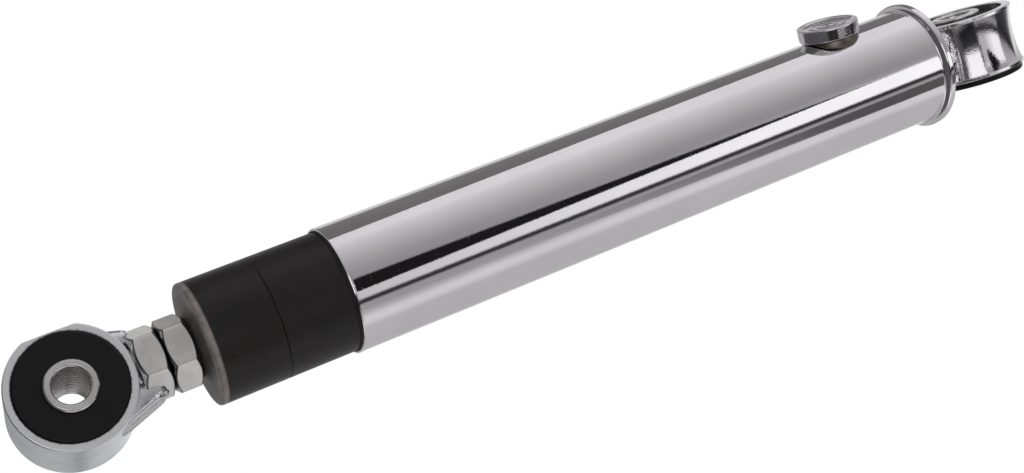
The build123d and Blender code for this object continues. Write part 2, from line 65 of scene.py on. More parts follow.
def addNode(tree, kind, inputs=(), stops=(), **settings):
    # One node: its settings, then its inputs, as a list in the node's own order or a dictionary. A
    # MapRange takes its value, the two ends that the value runs between, and what it gives at each.
    node = tree.nodes.new("ShaderNode" + kind)
    for name, value in settings.items():
        setattr(node, name, value)
    fill(tree, node, inputs if isinstance(inputs, dict) else dict(enumerate(inputs)))
    if stops:
        while len(node.color_ramp.elements) < len(stops):
            node.color_ramp.elements.new(1.0)
        for element, (position, colour) in zip(node.color_ramp.elements, stops):
            element.position = position
            element.color = colour
    return node


def newFinish(name, **sockets):
    # a Principled material with constants on its sockets, and its object coordinates
    material = bpy.data.materials.new(name)
    material.use_nodes = True
    tree = material.node_tree
    shader = tree.nodes["Principled BSDF"]
    fill(tree, shader, {key.replace("_", " "): value for key, value in sockets.items()})
    return material, tree, shader, addNode(tree, "TexCoord").outputs["Object"]


def patches(tree, place, size, span=(0, 1), values=(0, 1), detail=3, rough=0.55):
    # soft patches of this many millimetres: noise at the two ends of span gives the two values
    noise = addNode(tree, "TexNoise", {"Vector": place, "Scale": 1 / (size * mm), "Detail": detail,
                                       "Roughness": rough})
    return addNode(tree, "MapRange", [noise, *span, *values])


def tinted(tree, share, first, second):
    # share 0 gives the first colour and 1 the second, each a hex text or another node's output
    colours = [linearColour(c) if isinstance(c, str) else c for c in (first, second)]
    return addNode(tree, "Mix", {0: share, 6: colours[0], 7: colours[1]}, data_type="RGBA").outputs[2]


def addRelief(tree, shader, *layers):
    # each layer is a height from 0 to 1 and how many millimetres that stands up
    normal = None
    for height, depth in layers:
        inputs = {"Height": height, "Distance": depth * mm}
        if normal:
            inputs["Normal"] = normal
        normal = addNode(tree, "Bump", inputs).outputs["Normal"]
    fill(tree, shader, {"Normal": normal})


def onSide(tree, place, centre, axis, ends):
    # 0 below the first distance along the axis from the centre and 1 above the second, in millimetres
    offset = addNode(tree, "VectorMath", [place, [v * mm for v in centre]], operation="SUBTRACT")
    along = addNode(tree, "VectorMath", [offset, axis], operation="DOT_PRODUCT").outputs["Value"]
    return addNode(tree, "MapRange", [along, ends[0] * mm, ends[1] * mm, 0, 1])


# Finishes, with every width and depth in millimetres. Pits, peel and grain are drawn several times
# coarser than they are, because at their real size they wouldn't show.
finishes = {}
chromeMarks = {"cloud": 30, "wave": 14, "smear": 9, "pit": 0.45}
chromes = {
    "chromium_plate": {"colours": ("#ECEBEC", "#E5E4E6"), "roughness": 0.026, "wave": 0.004,
                       "peel": 0.006, "peelSize": 0.5, "pitting": 0.2},
    "pitted_chromium_plate": {"colours": ("#EAE9EA", "#E0DFE1"), "roughness": 0.035, "wave": 0.006,
                              "peel": 0.022, "peelSize": 0.6, "pitting": 0.25},
    # the boss under the plug gets a dark beige-brown chrome: painted shade under the plug's head
    "satin_chromium_plate": {"colours": ("#857D76", "#726A63"), "roughness": 0.28, "wave": 0.006,
                             "peel": 0.004, "peelSize": 0.7, "pitting": 0.1},
    "ground_rod_chrome": {"colours": ("#E4E4E8", "#DADADF"), "roughness": 0.06, "wave": 0.004,
                          "peel": 0.0004, "peelSize": 0.7, "pitting": 0.2},
}


def makeChrome(name, colours, roughness, wave, peel, peelSize, pitting):
    # Chromium plate over polished steel: a mirror, with polishing waviness, and an orange peel and fine
    # pits that fray the edges of what it reflects
    material, tree, shader, place = newFinish(name, Metallic=1.0)
    cloud = patches(tree, place, chromeMarks["cloud"], span=(0.35, 0.65))
    pits = patches(tree, place, chromeMarks["pit"], span=(0.66, 0.74), values=(0, pitting), detail=2)
    smear = patches(tree, place, chromeMarks["smear"], span=(0.45, 0.75),
                    values=(roughness, roughness * 1.8), detail=4)
    rough = addNode(tree, "Math", [pits, smear], operation="ADD")
    fill(tree, shader, {"Base Color": tinted(tree, cloud, *colours), "Roughness": rough})
    addRelief(tree, shader, (patches(tree, place, chromeMarks["wave"], detail=1), wave),
              (patches(tree, place, peelSize, detail=2), peel))
    finishes[name] = material
    return tree, shader, place, rough


zincMarks = {"cloud": 8, "speck": 0.9, "satin": 2.2, "dent": 3.0, "grain": 0.7}
zincs = {
    "clear_zinc_plate": {"colours": ("#C6CDD4", "#D8DCDE", "#94989C"), "roughness": 0.2, "grain": 0.006},
    "zinc_plated_weld": {"colours": ("#E8EAEC", "#D6D9DC", "#8A8D90"), "roughness": 0.24, "grain": 0.04,
                         "specked": 0.5},
    "machined_steel": {"colours": ("#B4B2B0", "#A6A4A2", "#6E6C6A"), "roughness": 0.34, "grain": 0.004},
    "annealed_copper": {"colours": ("#B87A5E", "#A4684E", "#6E4434"), "roughness": 0.38, "grain": 0.006},
    "oiled_bronze": {"colours": ("#9C7B4C", "#8A6A3E", "#5A4428"), "roughness": 0.42, "grain": 0.01},
}


def makeZinc(name, colours, roughness, grain, specked=0.4):
    # Zinc plate, or bare metal as machined: satin, with a cloudy passivation in two tints, dull specks,
    # shallow dents and a fine grain
    material, tree, shader, place = newFinish(name, Metallic=1.0)
    tint = tinted(tree, patches(tree, place, zincMarks["cloud"], span=(0.38, 0.62)), *colours[:2])
    specks = patches(tree, place, zincMarks["speck"], span=(0.64, 0.76), values=(0, specked), rough=0.7)
    satin = patches(tree, place, zincMarks["satin"], span=(0.3, 0.7),
                    values=(roughness * 0.8, roughness * 1.3), detail=4)
    fill(tree, shader, {"Base Color": tinted(tree, specks, tint, colours[2]), "Roughness": satin})
    addRelief(tree, shader, (patches(tree, place, zincMarks["dent"], detail=2), grain * 2.5),
              (patches(tree, place, zincMarks["grain"], detail=4, rough=0.65), grain))
    finishes[name] = material
    return tree, shader, place, tint


blackMarks = {"dust": 12, "fleck": 0.5, "fleckColour": "#6F6B68"}
blacks = {
    "moulded_rubber": {"colours": ("#0B0B0C", "#101011"), "roughness": 0.42, "grain": 0.5, "depth": 0.008,
                       "flecks": 0.4, "sheen": 0.22},
    "nitrile_seal": {"colours": ("#171616", "#1E1D1D"), "roughness": 0.5, "grain": 0.5,
                     "depth": 0.006, "flecks": 0.2, "sheen": 0.3},
    "phosphated_steel": {"colours": ("#2B2B2E", "#343438"), "roughness": 0.45, "grain": 0.4,
                         "depth": 0.006, "flecks": 0.2, "sheen": 0.5},
    "painted_spring_steel": {"colours": ("#1E1E20", "#28282B"), "roughness": 0.35, "grain": 1.5,
                             "depth": 0.01, "flecks": 0.2, "sheen": 0.5},
    "filled_ptfe": {"colours": ("#5A4A3C", "#6A5848"), "roughness": 0.5, "grain": 0.6,
                    "depth": 0.004, "flecks": 0.2, "sheen": 0.5},
}


def makeBlack(name, colours, roughness, grain, depth, flecks, sheen):
    # Rubber, nylon and other dark coats: matte, a little dusty, with a fine moulded or turned grain and
    # pale flecks
    material, tree, shader, place = newFinish(name, Metallic=0.0, IOR=1.5, Specular_IOR_Level=sheen)
    dust = patches(tree, place, blackMarks["dust"], span=(0.40, 0.75), detail=5, rough=0.6)
    fleck = patches(tree, place, blackMarks["fleck"], span=(0.84, 0.90), values=(0, flecks), detail=0)
    tint = tinted(tree, fleck, tinted(tree, dust, *colours), blackMarks["fleckColour"])
    matt = addNode(tree, "MapRange", [dust, 0, 1, roughness, roughness * 1.15])
    fill(tree, shader, {"Base Color": tint, "Roughness": matt})
    addRelief(tree, shader, (patches(tree, place, grain, rough=0.6), depth))
    finishes[name] = material
    return tree, shader, place, tint


for make, kinds in ((makeChrome, chromes), (makeZinc, zincs), (makeBlack, blacks)):
    for name, values in kinds.items():
        make(name, **values)
print("plain finishes made:", len(finishes))

slotFinish = {
    "chrome_plate": "chromium_plate", "rod_chrome": "ground_rod_chrome", "zinc_plate": "clear_zinc_plate",
    "zinc_nut": "zinc_plated_nut", "turned_steel": "turned_zinc_steel", "machined_steel": "machined_steel",
    "copper": "annealed_copper", "bronze": "oiled_bronze", "bush_rubber": "moulded_rubber",
    "seal_rubber": "nitrile_seal", "bump_foam": "nitrile_seal", "black_sleeve": "turned_black_nylon",
    "damper_tube": "phosphated_steel", "spring_steel": "painted_spring_steel", "ring_plastic": "filled_ptfe",
}
sharpAngle = 32  # degrees, past which an edge stays sharp


def addSurface(name, points, slot, body, replaced=(), finish=None):
    # points is a closed grid (around, along the profile): each cell of it is one face
    turns, steps = points.shape[:2]
    corner = np.arange(turns * steps).reshape(turns, steps)
    right = np.roll(corner, -1, axis=0)
    faces = np.stack([corner, right, np.roll(right, -1, axis=1), np.roll(corner, -1, axis=1)], axis=-1)
    faces = faces.reshape(-1, 4)
    flat = points.reshape(-1, 3)
    a, b, c, d = (flat[faces[:, i]] for i in range(4))
    volume = np.einsum("ij,ij->i", a, np.cross(b, c)).sum() + np.einsum("ij,ij->i", a, np.cross(c, d)).sum()
    if volume < 0:  # the faces point inwards
        faces = faces[:, ::-1]
    mesh = bpy.data.meshes.new(name)
    mesh.from_pydata((flat * mm).tolist(), [], faces.tolist())
    mesh.shade_smooth()
    mesh.set_sharp_from_angle(angle=math.radians(sharpAngle))
    mesh.materials.append(finishes[finish or slotFinish[slot]])
    mesh.validate()
    piece = bpy.data.objects.new(name, mesh)
    bpy.context.scene.collection.objects.link(piece)
    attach(piece, body)
    if replaced:
        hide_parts(*replaced)
    return mesh


def addDarkeningMask(mesh, depth):
    # an attribute for the finish, from 0 to 1, for where it is darker: how deep in a sleeve's groove each
    # point lies, and on a nut the rounded edges that get painted shade
    values = depth.astype(np.float32).reshape(-1)
    mesh.attributes.new("groove", "FLOAT", "POINT").data.foreach_set("value", values)


def quadratic(start, middle, end, t):
    # the curve from start to end that leaves and arrives in line with the middle point
    return (1 - t) ** 2 * start + 2 * t * (1 - t) * middle + t ** 2 * end


perCorner = 7  # points that a rounded corner gets at the usual 5 steps
rounding = {"mostOfSide": 0.45, "holdOfSide": 0.04}


def roundedProfile(corners, steps=perCorner - 2, hold=0.12):
    # Each corner (radius, height, rounding) of a closed profile becomes a quadratic curve between the
    # points where its rounding starts, with a holding point just before and after it
    corners = np.array(corners, float)
    place, size = corners[:, :2], corners[:, 2]
    before = np.roll(place, 1, axis=0) - place
    after = np.roll(place, -1, axis=0) - place
    lengthBefore = np.linalg.norm(before, axis=1)[:, None]
    lengthAfter = np.linalg.norm(after, axis=1)[:, None]
    before, after = before / lengthBefore, after / lengthAfter
    reach = np.minimum(size[:, None], np.minimum(lengthBefore, lengthAfter) * rounding["mostOfSide"])
    start, end = place + before * reach, place + after * reach
    curve = quadratic(start[:, None], place[:, None], end[:, None], np.linspace(0, 1, steps)[None, :, None])
    holdBefore = start + before * np.minimum(hold, lengthBefore * rounding["holdOfSide"])
    holdAfter = end + after * np.minimum(hold, lengthAfter * rounding["holdOfSide"])
    return np.concatenate([holdBefore[:, None], curve, holdAfter[:, None]], axis=1).reshape(-1, 2)


def directions(axis, first):
    # the axis, the first direction square to it, and the one square to both
    axis = np.array(axis, float) / np.linalg.norm(axis)
    first = np.array(first, float)
    first = first - axis * (first @ axis)
    first = first / np.linalg.norm(first)
    return axis, first, np.cross(axis, first)


def angles(count):
    return np.linspace(0, fullTurn, count, endpoint=False)


def turned(profile, axis=(0, 0, 1), first=(1, 0, 0), centre=(0, 0, 0), turns=144):
    # point = centre + axis times height + radius times the direction at each angle round the axis
    axis, first, second = directions(axis, first)
    angle = angles(turns)[:, None, None]
    radial = np.cos(angle) * first + np.sin(angle) * second
    radius, height = profile[None, :, 0, None], profile[None, :, 1, None]
    return np.array(centre, float) + axis * height + radial * radius


waves = {"count": (0.7, 1.4), "around": 3, "along": 2.2, "fading": 0.7}


def ripple(a, b, seed, octaves):
    # a sum of sines with unrelated frequencies, which is smooth and looks like cooled weld metal
    draws = np.random.default_rng(seed)
    total = 0
    for octave in range(octaves):
        size = 2 ** octave
        count = draws.uniform(*waves["count"], 2) * size
        turnA, turnB = np.round(count[0] * waves["around"]), count[1] * waves["along"]
        phase = draws.uniform(0, fullTurn, 2)
        wave = np.sin(a * turnA + phase[0]) * np.sin(b * turnB + phase[1] + np.sin(a * turnA))
        total = total + wave / size ** waves["fading"]
    return total


tube = {"radius": 19.0, "inner": 18.1, "mouth": -232.3, "straight": (1.0, -1.2), "straightRows": 60,
        "mouthInside": [(0, 0), (0.15, -0.02)], "mouthOutside": [(-0.25, -0.02), (-0.08, 0.08), (0, 0.3)],
        "beadBottom": -23.9, "beadTop": -22.7, "fillet": 0.8, "filletDrop": 0.05, "beadRows": 26,
        "rimTop": -21.0, "rimRadius": 20.8, "rimInner": 19.9, "rimRound": 0.7, "rimRows": 9,
        "lip": 0.9, "crimp": 19.0, "shoulderTop": -22.8, "shoulder": 1.8, "bore": (0.6, -1.2), "turns": 384}


def makeCoverTube():
    # Outside: a straight tube, a small fillet, and a bead that is a quarter of an ellipse: radius = tube's
    # plus width times sine, height = top minus length times cosine. Then a rounded rim. Inside: a bore.
    radius, inner, mouth, top = (tube[key] for key in ("radius", "inner", "mouth", "beadTop"))
    rimTop, rimRadius, rimInner, rimRound = (tube["rim" + key] for key in ("Top", "Radius", "Inner", "Round"))
    bottom = np.concatenate([np.array(tube["mouthInside"]) + [inner, mouth],
                             np.array(tube["mouthOutside"]) + [radius, mouth]])
    straight = np.linspace(mouth + tube["straight"][0], tube["beadBottom"] + tube["straight"][1],
                           tube["straightRows"])
    straight = np.stack([np.full(straight.shape, radius), straight], axis=1)
    width, length = rimRadius - radius, top - tube["beadBottom"]
    turn = np.linspace(math.asin(tube["fillet"] / width), math.pi / 2, tube["beadRows"])
    bead = np.stack([radius + width * np.sin(turn), top - length * np.cos(turn)], axis=1)
    corner = np.array([radius, tube["beadBottom"] + tube["filletDrop"]])
    t = np.linspace(0, 1, tube["rimRows"])[:-1, None]
    fillet = quadratic(corner - [0, tube["fillet"]], corner, bead[0], t)
    turn = np.linspace(0, math.pi / 2, tube["rimRows"])
    rim = rimRound * (np.stack([np.cos(turn), np.sin(turn)], axis=1) - 1) + [rimRadius, rimTop]
    lip = roundedProfile([(rimRadius - rimRound, rimTop, 0.0), (tube["crimp"], rimTop, 0.3),
                          (tube["crimp"], rimTop - tube["lip"], 0.1), (rimInner, rimTop - tube["lip"], 0.0)])
    lip = lip[perCorner + 1:3 * perCorner + 1]  # from its second corner to the start of its last
    bore = np.array([[rimInner, rimTop + tube["bore"][1]], [rimInner, tube["shoulderTop"]],
                     [inner, tube["shoulderTop"] - tube["shoulder"]], [inner, mouth + tube["bore"][0]]])
    profile = np.concatenate([bottom, straight, fillet, bead, rim, lip, bore])
    points = turned(profile, turns=tube["turns"])
    addSurface("cover_tube_shell", points, "chrome_plate", "cover", ["cover_tube"])


makeCoverTube()
wiper = {"lip": [(18.07, -232.9, 0.1), (18.30, -232.9, 0.12), (18.45, -232.33, 0.1), (18.07, -232.33, 0.1)]}
addSurface("wiper_lip", turned(roundedProfile(wiper["lip"])), "seal_rubber", "cover", ["wiper_ring"])
print("cover tube made")

cap = {"top": -21.9, "foot": 19.0, "neck": 9.5, "domeTop": -18.7, "domeRadius": 14.0, "domeRows": 22,
       "stopShort": 0.06, "fillet": 0.8, "filletRows": 8, "inSpool": 16.4, "core": (4.0, -12.0),
       "middle": (0.4, -12.0), "saddleShares": (0.3, 0.7, 1.0, 1.0, 1.0), "floor": -28.0,
       "plugRadius": 17.9, "plugTop": 0.6, "turns": 192}


def makeEndCap():
    # A dome from the crimped edge to the neck, an arc of one radius through both ends, then a concave
    # fillet, and the neck, whose top follows the spool: height = minus the square root of the spool's
    # radius squared less the sideways distance squared
    start, end = np.array([cap["foot"], cap["top"]]), np.array([cap["neck"], cap["domeTop"]])
    chord = end - start
    half = np.linalg.norm(chord) / 2
    inward = np.array([-chord[1], chord[0]]) / (2 * half)
    centre = (start + end) / 2 + inward * math.sqrt(cap["domeRadius"] ** 2 - half ** 2)
    first, last = (math.atan2(*(p - centre)[::-1]) for p in (start, end))
    sweep = np.linspace(first, last - cap["stopShort"], cap["domeRows"])
    dome = centre + cap["domeRadius"] * np.stack([np.cos(sweep), np.sin(sweep)], axis=1)
    top = end + [0, cap["fillet"]]
    fillet = quadratic(dome[-1], end, top, np.linspace(0, 1, cap["filletRows"])[1:, None])
    column = np.array([top] * 3 + [cap["core"], cap["middle"]])
    inside = np.array([[cap["middle"][0], cap["floor"]], [cap["plugRadius"], cap["floor"]],
                       [cap["plugRadius"], cap["top"] - cap["plugTop"]]])
    points = turned(np.concatenate([dome, fillet, column, inside]), turns=cap["turns"])
    row = len(dome) + len(fillet)
    upper = points[:, row:row + len(column)]
    saddle = -np.sqrt(cap["inSpool"] ** 2 - upper[..., 1] ** 2)
    upper[..., 2] = top[1] + (saddle - top[1]) * np.array(cap["saddleShares"])
    addSurface("domed_end_cap", points, "chrome_plate", "cover", ["end_cap"])


neckWeld = {"alongEye": 8.4, "across": 11.3, "reach": 18.0, "thin": 0.8, "thick": 1.15, "squareness": 4,
            "thickening": 3, "rippled": 0.16, "seed": 3, "octaves": 3, "turns": 360, "rows": 24}


def makeNeckWeld():
    # A bead round the foot of the spool. Its path is a squarish ring that follows the spool's
    # underside, and its round section is thicker at the front and back, and rippled.
    around = angles(neckWeld["turns"])[:, None]
    section = angles(neckWeld["rows"])[None, :]
    outX, outY, power = np.cos(around), np.sin(around), neckWeld["squareness"]
    squareness = (np.abs(outX) ** power + np.abs(outY) ** power) ** (-1 / power)
    x, y = neckWeld["alongEye"] * outX * squareness, neckWeld["across"] * outY * squareness
    depth = np.sqrt(neckWeld["reach"] ** 2 - y ** 2)
    share = np.clip(np.abs(y) / neckWeld["across"], 0, 1) ** neckWeld["thickening"]
    size = neckWeld["thin"] + (neckWeld["thick"] - neckWeld["thin"]) * share
    drops = ripple(around * 2, section, neckWeld["seed"], neckWeld["octaves"])
    size = size * (1 + neckWeld["rippled"] * drops)
    points = np.stack([x + size * np.cos(section) * outX, y + size * np.cos(section) * outY,
                       -depth + size * np.sin(section)], axis=-1)
    addSurface("neck_weld", points, "chrome_plate", "cover")


spool = {"half": 10.0, "lip": 18.0, "lipThick": 1.2, "step": 0.35, "waist": 16.7, "bore": 15.3,
         "rows": 40, "turns": 260}


def makeSpool():
    # The outer side is a shallow arc between the lips: radius = waist + depth times the square of the
    # distance from the middle
    face, foot, half = spool["half"] - spool["lipThick"], spool["lip"] - spool["step"], spool["half"]
    x = np.linspace(-face, face, spool["rows"])
    arc = np.stack([spool["waist"] + (foot - spool["waist"]) * (x / face) ** 2, x], axis=1)
    right = roundedProfile([(foot, face, 0.1), (spool["lip"], face, 0.15), (spool["lip"], half, 0.3),
                            (spool["bore"], half, 0.25), (spool["bore"], 0.0, 0.0)])
    right = right[perCorner:4 * perCorner]  # its three corners at the lip
    left = right[::-1] * np.array([1, -1])
    points = turned(np.concatenate([arc, right, left]), upperBush["axis"], (0, 0, 1), turns=spool["turns"])
    addSurface("spool_eye", points, "chrome_plate", "cover", ["upper_eye"], "pitted_chromium_plate")


upperBush = {"axis": (-1, 0, 0), "turns": 200, "sleeve": {"low": -13.0, "high": 10.5, "outer": 8.0},
             "rubber": [(8.05, 8.2, 0.3), (15.25, 8.2, 0.5), (15.25, -10.02, 0.1), (17.1, -10.02, 0.2),
                        (17.1, -12.0, 1.1), (8.05, -12.0, 0.3)]}

makeEndCap()
makeNeckWeld()
makeSpool()
rubber = roundedProfile(upperBush["rubber"])
addSurface("upper_rubber", turned(rubber, upperBush["axis"], (0, 0, 1), turns=upperBush["turns"]),
           "bush_rubber", "cover", ["upper_bush_rubber"])


sleeve = {"bore": 5.1, "bevel": 0.5, "pitch": 2.3, "depth": 0.36, "fade": 0.6, "turns": 120, "rows": 168,
          "finish": {"colours": ("#E4E4E2", "#D6D6D4", "#949290"), "roughness": 0.22, "grain": 0.004},
          "oil": "#383533", "oiled": (0.45, 0.95), "darkestShare": 0.85}


def makeSleeveSteel():
    # Turned steel sleeve with zinc plate, its tool marks darker at their bottoms
    tree, shader, place, tint = makeZinc("turned_zinc_steel", **sleeve["finish"])
    groove = addNode(tree, "Attribute", attribute_name="groove").outputs["Fac"]
    darker = addNode(tree, "MapRange", [groove, *sleeve["oiled"], 0, sleeve["darkestShare"]])
    fill(tree, shader, {"Base Color": tinted(tree, darker, tint, sleeve["oil"])})


def addSleeve(name, low, high, outer, axis, centre, body, node):
    # A tube with bevelled ends. In its bore the cutter left one helical groove: radius = the bore's plus
    # half the depth times one plus the sine of the way along less the pitch times the turn.
    radius, bevel, turns = sleeve["bore"], sleeve["bevel"], sleeve["turns"]
    bore = np.linspace(high - bevel - 0.1, low + bevel + 0.1, sleeve["rows"])
    ends = roundedProfile([
        (radius, low + bevel, 0.1), (radius + bevel, low, 0.15), (outer - bevel, low, 0.15),
        (outer, low + bevel, 0.1), (outer, high - bevel, 0.1), (outer - bevel, high, 0.15),
        (radius + bevel, high, 0.15), (radius, high - bevel, 0.1)], steps=4)
    profile = np.concatenate([np.stack([np.full(bore.shape, radius), bore], axis=1), ends])
    points = turned(profile, axis, (0, 0, 1), centre, turns)
    along, first, second = directions(axis, (0, 0, 1))
    angle = angles(turns)[:, None]
    wave = np.sin(fullTurn * bore[None, :] / sleeve["pitch"] - angle)
    fade = np.clip((np.minimum(high - bore, bore - low) - bevel) / sleeve["fade"], 0, 1)
    groove = np.zeros(points.shape[:2])
    groove[:, :len(bore)] = (1 + wave) / 2 * fade
    outward = np.cos(angle)[..., None] * first + np.sin(angle)[..., None] * second
    points += sleeve["depth"] * groove[..., None] * outward
    addDarkeningMask(addSurface(name, points, "turned_steel", body, [node]), groove)


makeSleeveSteel()
addSleeve("upper_sleeve_tube", **upperBush["sleeve"], axis=upperBush["axis"], centre=(0, 0, 0),
          body="upper_sleeve", node="upper_bush_sleeve")
print("upper eye made")

plug = {"drop": -51.2, "turn": 187.0, "seat": 19.3, "top": 23.4, "radius": 9.8, "rim": 1.4, "recess": 0.5,
        "shank": 5.0, "shankEnd": 14.0, "middle": 0.3, "turning": 0.09, "turningPitch": 2.6,
        "turningEdge": 1.2, "boss": [(8.9, 18.9), (9.3, 16.8), (10.7, 15.3)], "bossBore": 5.1,
        "bossEdge": 0.5, "turns": 180, "bossTurns": 120,
        "finish": {"colours": ("#EDECED", "#E2E1E3"), "roughness": 0.035, "wave": 0.006, "peel": 0.022,
                   "peelSize": 0.6, "pitting": 0.3},
        "wornFrom": (22.6, 22.8), "streak": 1.3, "streakStretch": (1, 1, 0.1), "streakRough": (0.08, 0.26)}


def makePlugChrome(axis):
    # Chromium plate on the plug: speckled, and on its face worn to a satin with streaks along the tube
    tree, shader, place, rough = makeChrome("worn_chromium_plate", **plug["finish"])
    onFace = onSide(tree, place, (0, 0, 0), axis, plug["wornFrom"])
    streaks = addNode(tree, "VectorMath", [place, plug["streakStretch"]], operation="MULTIPLY")
    streaks = patches(tree, streaks, plug["streak"], span=(0.38, 0.62), values=plug["streakRough"],
                      detail=4, rough=0.65)
    worn = addNode(tree, "Math", [onFace, streaks], operation="MULTIPLY")
    fill(tree, shader, {"Roughness": addNode(tree, "Math", [rough, worn], operation="ADD")})


def makePlug():
    # the round head with its raised rim, and the boss that it is screwed down on
    turn = math.radians(plug["turn"])
    axis, centre = (math.cos(turn), math.sin(turn), 0), (0, 0, plug["drop"])
    makePlugChrome(axis)
    seat, top, radius, middle, end = (plug[key] for key in ("seat", "top", "radius", "middle", "shankEnd"))
    floor, inside = top - plug["recess"], radius - plug["rim"]
    head = roundedProfile([
        (plug["shank"], end, 0.2), (plug["shank"], seat, 0.1), (radius, seat, 0.35), (radius, top, 0.45),
        (inside, top, 0.35), (inside - plug["recess"], floor, 0.3), (middle, floor, 0.0), (middle, end, 0.0)])
    # the recess was turned with a round tool: its floor rises and falls as a cosine of the radius
    ring = np.linspace(inside - plug["turningEdge"], middle, 60)
    floorWave = plug["turning"] * (np.cos(fullTurn * ring / plug["turningPitch"]) - 1)
    floorRing = np.stack([ring, floor + floorWave], axis=1)
    head = np.concatenate([head[:6 * perCorner], floorRing, [[middle, end]]])
    addSurface("side_plug", turned(head, axis, (0, 0, 1), centre, plug["turns"]), "chrome_plate", "cover",
               ["filler_plug"], "worn_chromium_plate")
    # the boss's flank is a quadratic curve that meets the tube without an edge
    first, middle, last = np.array(plug["boss"])
    flank = quadratic(first, middle, last, np.linspace(0, 1, 24)[:, None])
    boss = np.concatenate([[[plug["bossBore"], last[1]], [plug["bossBore"], first[1]],
                            [first[0] - plug["bossEdge"], first[1]]], flank])
    # the boss's chrome is darkened as painted shade under the plug's head
    addSurface("plug_boss", turned(boss, axis, (0, 0, 1), centre, plug["bossTurns"]), "chrome_plate", "cover",
               finish="satin_chromium_plate")


makePlug()
print("plug made")

guide = {"radius": 18.02, "bore": 12.92, "top": -222.3, "joint": -253.8, "face": -274.3, "groove": 0.22,
         "gap": 0.03, "spigot": 15.52, "spigotLength": 3.0, "socket": 15.6, "socketDepth": 2.95,
         "topEdge": 0.9, "topBore": 13.9, "topDepth": 6, "rodBore": 6.05, "floorHeight": 6,
         "hub": 8.5, "hubDrop": 1.65, "cone": (11.6, 0.1), "flatFrom": 16.0, "turns": 200,
         "finish": {"colours": ("#110F0E", "#181413"), "roughness": 0.4, "grain": 0.35, "depth": 0.005,
                    "flecks": 0.35, "sheen": 0.32},
         "scuff": "#6E6764", "scuffHeight": (1.5, 2.1), "nutShadeRadius": (9.0, 16.5), "scuffInNutShade": 0.15,
         "scuffSize": 3}


def makeNylon():
    # Turned black nylon: matte, with its end face scuffed to a brownish grey that fades out towards
    # the nut as painted shade, which keeps the face near black beside the nut
    tree, shader, place, body = makeBlack("turned_black_nylon", **guide["finish"])
    parts = addNode(tree, "SeparateXYZ", [place]).outputs
    flat = addNode(tree, "CombineXYZ", [parts["X"], parts["Y"]])
    radius = addNode(tree, "VectorMath", [flat], operation="LENGTH").outputs["Value"]
    low, high = ((guide["face"] + height) * mm for height in guide["scuffHeight"])
    onFace = addNode(tree, "MapRange", [parts["Z"], low, high, 1, 0])
    # painted shade: the scuff fades out towards the nut, as the nut's shade on the face
    near, far = (distance * mm for distance in guide["nutShadeRadius"])
    outOfNutShade = addNode(tree, "MapRange", [radius, near, far, guide["scuffInNutShade"], 1])
    scuff = patches(tree, place, guide["scuffSize"], (0.32, 0.62), values=(0.55, 1), detail=5, rough=0.65)
    worn = addNode(tree, "Math", [onFace, outOfNutShade], operation="MULTIPLY")
    worn = addNode(tree, "Math", [worn, scuff], operation="MULTIPLY")
    fill(tree, shader, {"Base Color": tinted(tree, worn, body, guide["scuff"])})


def makeGuides():
    # Two turned sleeves, one spigoted into the other, with a fine groove where they meet. The lower one's
    # end face rises from a low cone round the rod to a flat rim.
    radius, bore, top, joint, face = (guide[key] for key in ("radius", "bore", "top", "joint", "face"))
    groove, over, foot = guide["groove"], joint - guide["gap"], joint - guide["spigotLength"]
    floor, socket = face + guide["floorHeight"] - guide["gap"], joint - guide["socketDepth"]
    upper = [(bore, foot, 0.1), (guide["spigot"], foot, 0.1), (guide["spigot"], over, 0.05),
             (radius - groove, over, 0.05), (radius, joint + groove, 0.08),
             (radius, top - guide["topEdge"], 0.3), (radius - guide["topEdge"], top, 0.3),
             (guide["topBore"], top, 0.1), (guide["topBore"], top - guide["topDepth"], 0.1),
             (bore, top - guide["topDepth"], 0.1)]
    lower = [(guide["rodBore"], floor, 0.1), (guide["rodBore"], face - guide["hubDrop"], 0.1),
             (guide["hub"], face - guide["hubDrop"], 0.3), (guide["cone"][0], face + guide["cone"][1], 1.6),
             (guide["flatFrom"], face, 1.2), (radius, face, 0.9), (radius, joint - groove, 0.08),
             (radius - groove, joint, 0.05), (guide["socket"], joint, 0.05), (guide["socket"], socket, 0.1),
             (bore, socket, 0.1), (bore, floor, 0.1)]
    for name, outline, node in (("upper_guide", upper, "upper_guide_sleeve"),
                                ("lower_guide", lower, "lower_guide_sleeve")):
        points = turned(roundedProfile(outline), turns=guide["turns"])
        addSurface(name, points, "black_sleeve", "guide", [node])


makeNylon()
makeGuides()
print("guide sleeves made")

nut = {"flats": 19.0, "height": 8.2, "bore": 6.05, "joint": -284.2, "corners": (38.7, 35.3), "edge": 0.25,
       "below": 0.2, "chamfer": 8.85, "chamferAngle": 32, "faceInside": 0.5, "cornerPower": 90,
       "sinkWidth": 0.7, "sinkDepth": 0.75, "sinkEdge": 0.03, "perSide": 28, "faceRows": 9, "bendRows": 5,
       "finish": {"colours": ("#EEEEEB", "#DEDEDB", "#A8A6A2"), "roughness": 0.18, "grain": 0.004,
                  "specked": 0.25},
       "oil": "#1E1C1A", "shadeAndDirtReach": (0.1, 0.6), "wander": 0.3, "wanderSize": 1.5,
       "darkeningStrength": 0.92, "lineStrength": 0.85}


